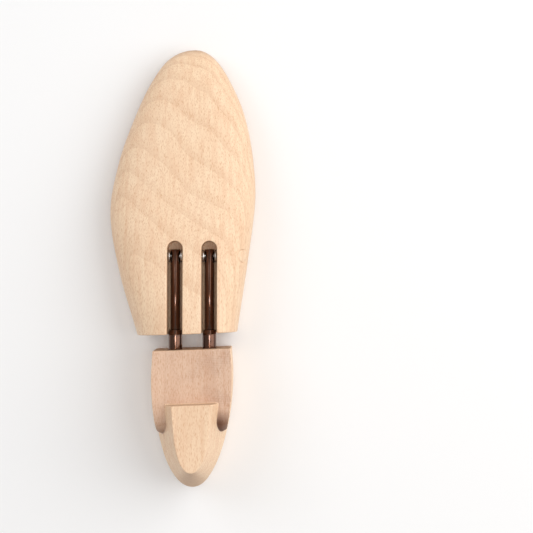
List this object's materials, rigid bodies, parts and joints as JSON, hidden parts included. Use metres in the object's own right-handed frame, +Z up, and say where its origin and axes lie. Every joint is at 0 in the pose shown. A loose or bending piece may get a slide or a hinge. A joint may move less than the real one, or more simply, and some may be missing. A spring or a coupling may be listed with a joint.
{
  "type": "shoe tree",
  "caption": "Sprung wooden shoe tree: a foot-shaped forepart hinged on twin telescopic metal tubes to a heel block with a raised handle.",
  "frame": {"origin": "bottom centre of the tree's bounding box, on the surface that it stands on", "axes": "+Y towards the toe, +X towards the inner side of a left foot, +Z up"},
  "size_m": [0.0947, 0.2849, 0.066],
  "materials": {
    "beech": "pale beech, fine sanded, satin",
    "bronze_tube": "dark bronze-coloured metal, polished",
    "steel": "bright drawn steel"
  },
  "bodies": {
    "forepart": {"forepart": "beech", "hinge_pin": "steel", "pin_dowel": "beech", "hinge_washer_left_inner": "steel", "hinge_washer_left_outer": "steel", "hinge_washer_right_inner": "steel", "hinge_washer_right_outer": "steel"},
    "rods": {"rod_left": "bronze_tube", "rod_right": "bronze_tube", "stop_collar_left": "bronze_tube", "stop_collar_right": "bronze_tube"},
    "heel": {"heel_block": "beech", "outer_tube_left": "bronze_tube", "outer_tube_right": "bronze_tube", "tube_end_plug_left": "steel", "tube_end_plug_right": "steel", "lock_pin_left": "steel", "lock_pin_right": "steel", "spring_left": "steel", "spring_right": "steel"}
  },
  "joints": [
    {"name": "rod_hinge", "type": "hinge", "parent": "forepart", "child": "rods", "pos_m": [0.0068, 0.0075, 0.035], "axis": [-1, 0, 0], "range_deg": [0, 30]},
    {"name": "heel_slide", "type": "slide", "parent": "rods", "child": "heel", "axis": [0, 1, 0], "range_m": [-0.012, 0.0065], "stiffness_N_per_m": 1500, "springref_m": -0.017, "deforming": ["spring_left", "spring_right"]}
  ]
}
